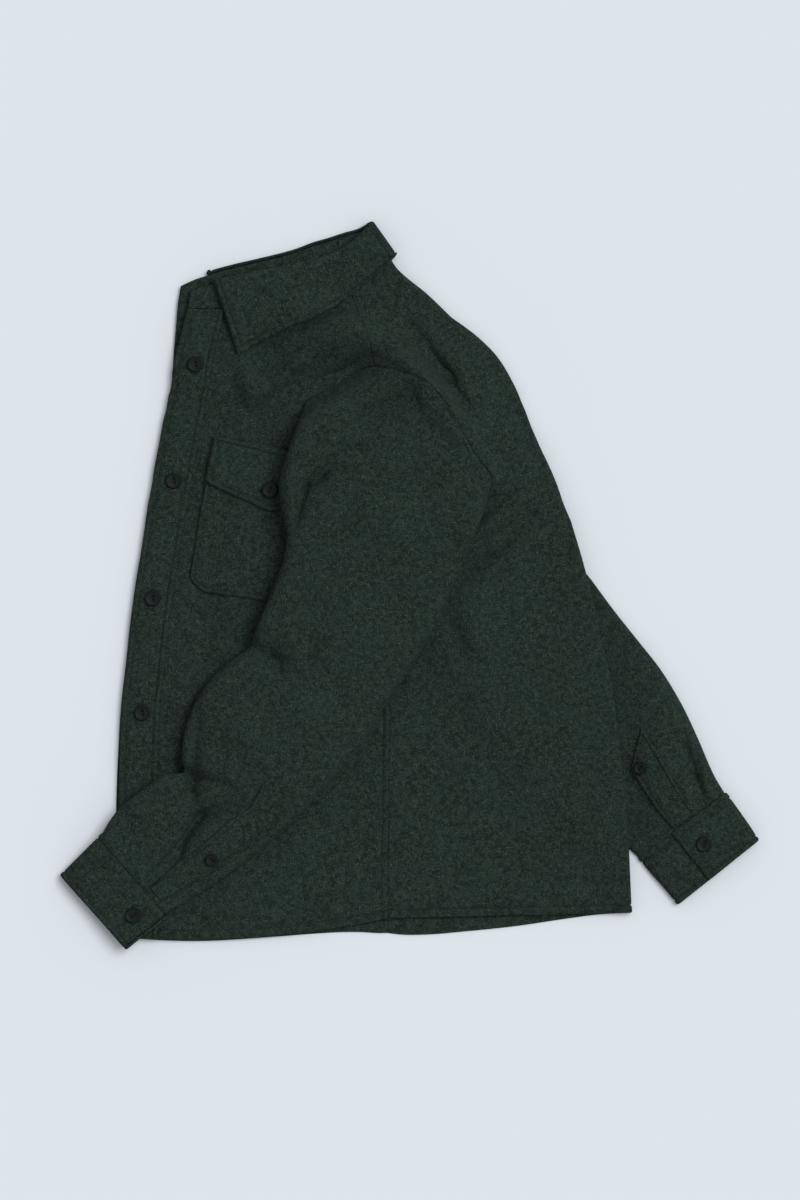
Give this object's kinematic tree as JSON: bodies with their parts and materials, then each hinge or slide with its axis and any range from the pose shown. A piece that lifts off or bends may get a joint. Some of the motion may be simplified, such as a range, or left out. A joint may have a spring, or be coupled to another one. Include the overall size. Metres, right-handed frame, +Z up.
{
  "type": "shacket",
  "caption": "Felted wool overshirt with a shirt collar, buttoned placket, flapped chest pocket and buttoned cuffs, folded in half lengthwise and laid flat on its side.",
  "frame": {"origin": "middle of the ground that the laid garment covers, on the surface it rests on", "axes": "+Y from hem to collar, +X from the front edge to the centre-back fold, +Z up from the surface"},
  "size_m": [0.7667, 0.7986, 0.0521],
  "materials": {
    "left_front": "felted wool, dark green melange",
    "right_front": "felted wool, dark green melange",
    "back": "felted wool, dark green melange",
    "left_sleeve": "felted wool, dark green melange",
    "right_sleeve": "felted wool, dark green melange",
    "left_cuff": "felted wool, dark green melange",
    "right_cuff": "felted wool, dark green melange",
    "collar_stand": "felted wool, dark green melange",
    "collar_leaf": "felted wool, dark green melange",
    "front_placket": "felted wool, dark green melange",
    "chest_pocket": "felted wool, dark green melange",
    "pocket_flap": "felted wool, dark green melange",
    "left_sleeve_placket": "felted wool, dark green melange",
    "right_sleeve_placket": "felted wool, dark green melange",
    "front_button_1": "dark dull polish",
    "front_button_2": "dark dull polish",
    "front_button_3": "dark dull polish",
    "front_button_4": "dark dull polish",
    "front_button_5": "dark dull polish",
    "pocket_button": "dark dull polish",
    "left_cuff_button": "dark dull polish",
    "right_cuff_button": "dark dull polish",
    "left_placket_button": "dark dull polish",
    "right_placket_button": "dark dull polish"
  },
  "bodies": {
    "root": {"left_front": "left_front", "right_front": "right_front", "back": "back", "left_sleeve": "left_sleeve", "right_sleeve": "right_sleeve", "left_cuff": "left_cuff", "right_cuff": "right_cuff", "collar_stand": "collar_stand", "collar_leaf": "collar_leaf", "front_placket": "front_placket", "chest_pocket": "chest_pocket", "pocket_flap": "pocket_flap", "left_sleeve_placket": "left_sleeve_placket", "right_sleeve_placket": "right_sleeve_placket", "front_button_1": "front_button_1", "front_button_2": "front_button_2", "front_button_3": "front_button_3", "front_button_4": "front_button_4", "front_button_5": "front_button_5", "pocket_button": "pocket_button", "left_cuff_button": "left_cuff_button", "right_cuff_button": "right_cuff_button", "left_placket_button": "left_placket_button", "right_placket_button": "right_placket_button"}
  },
  "joints": []
}
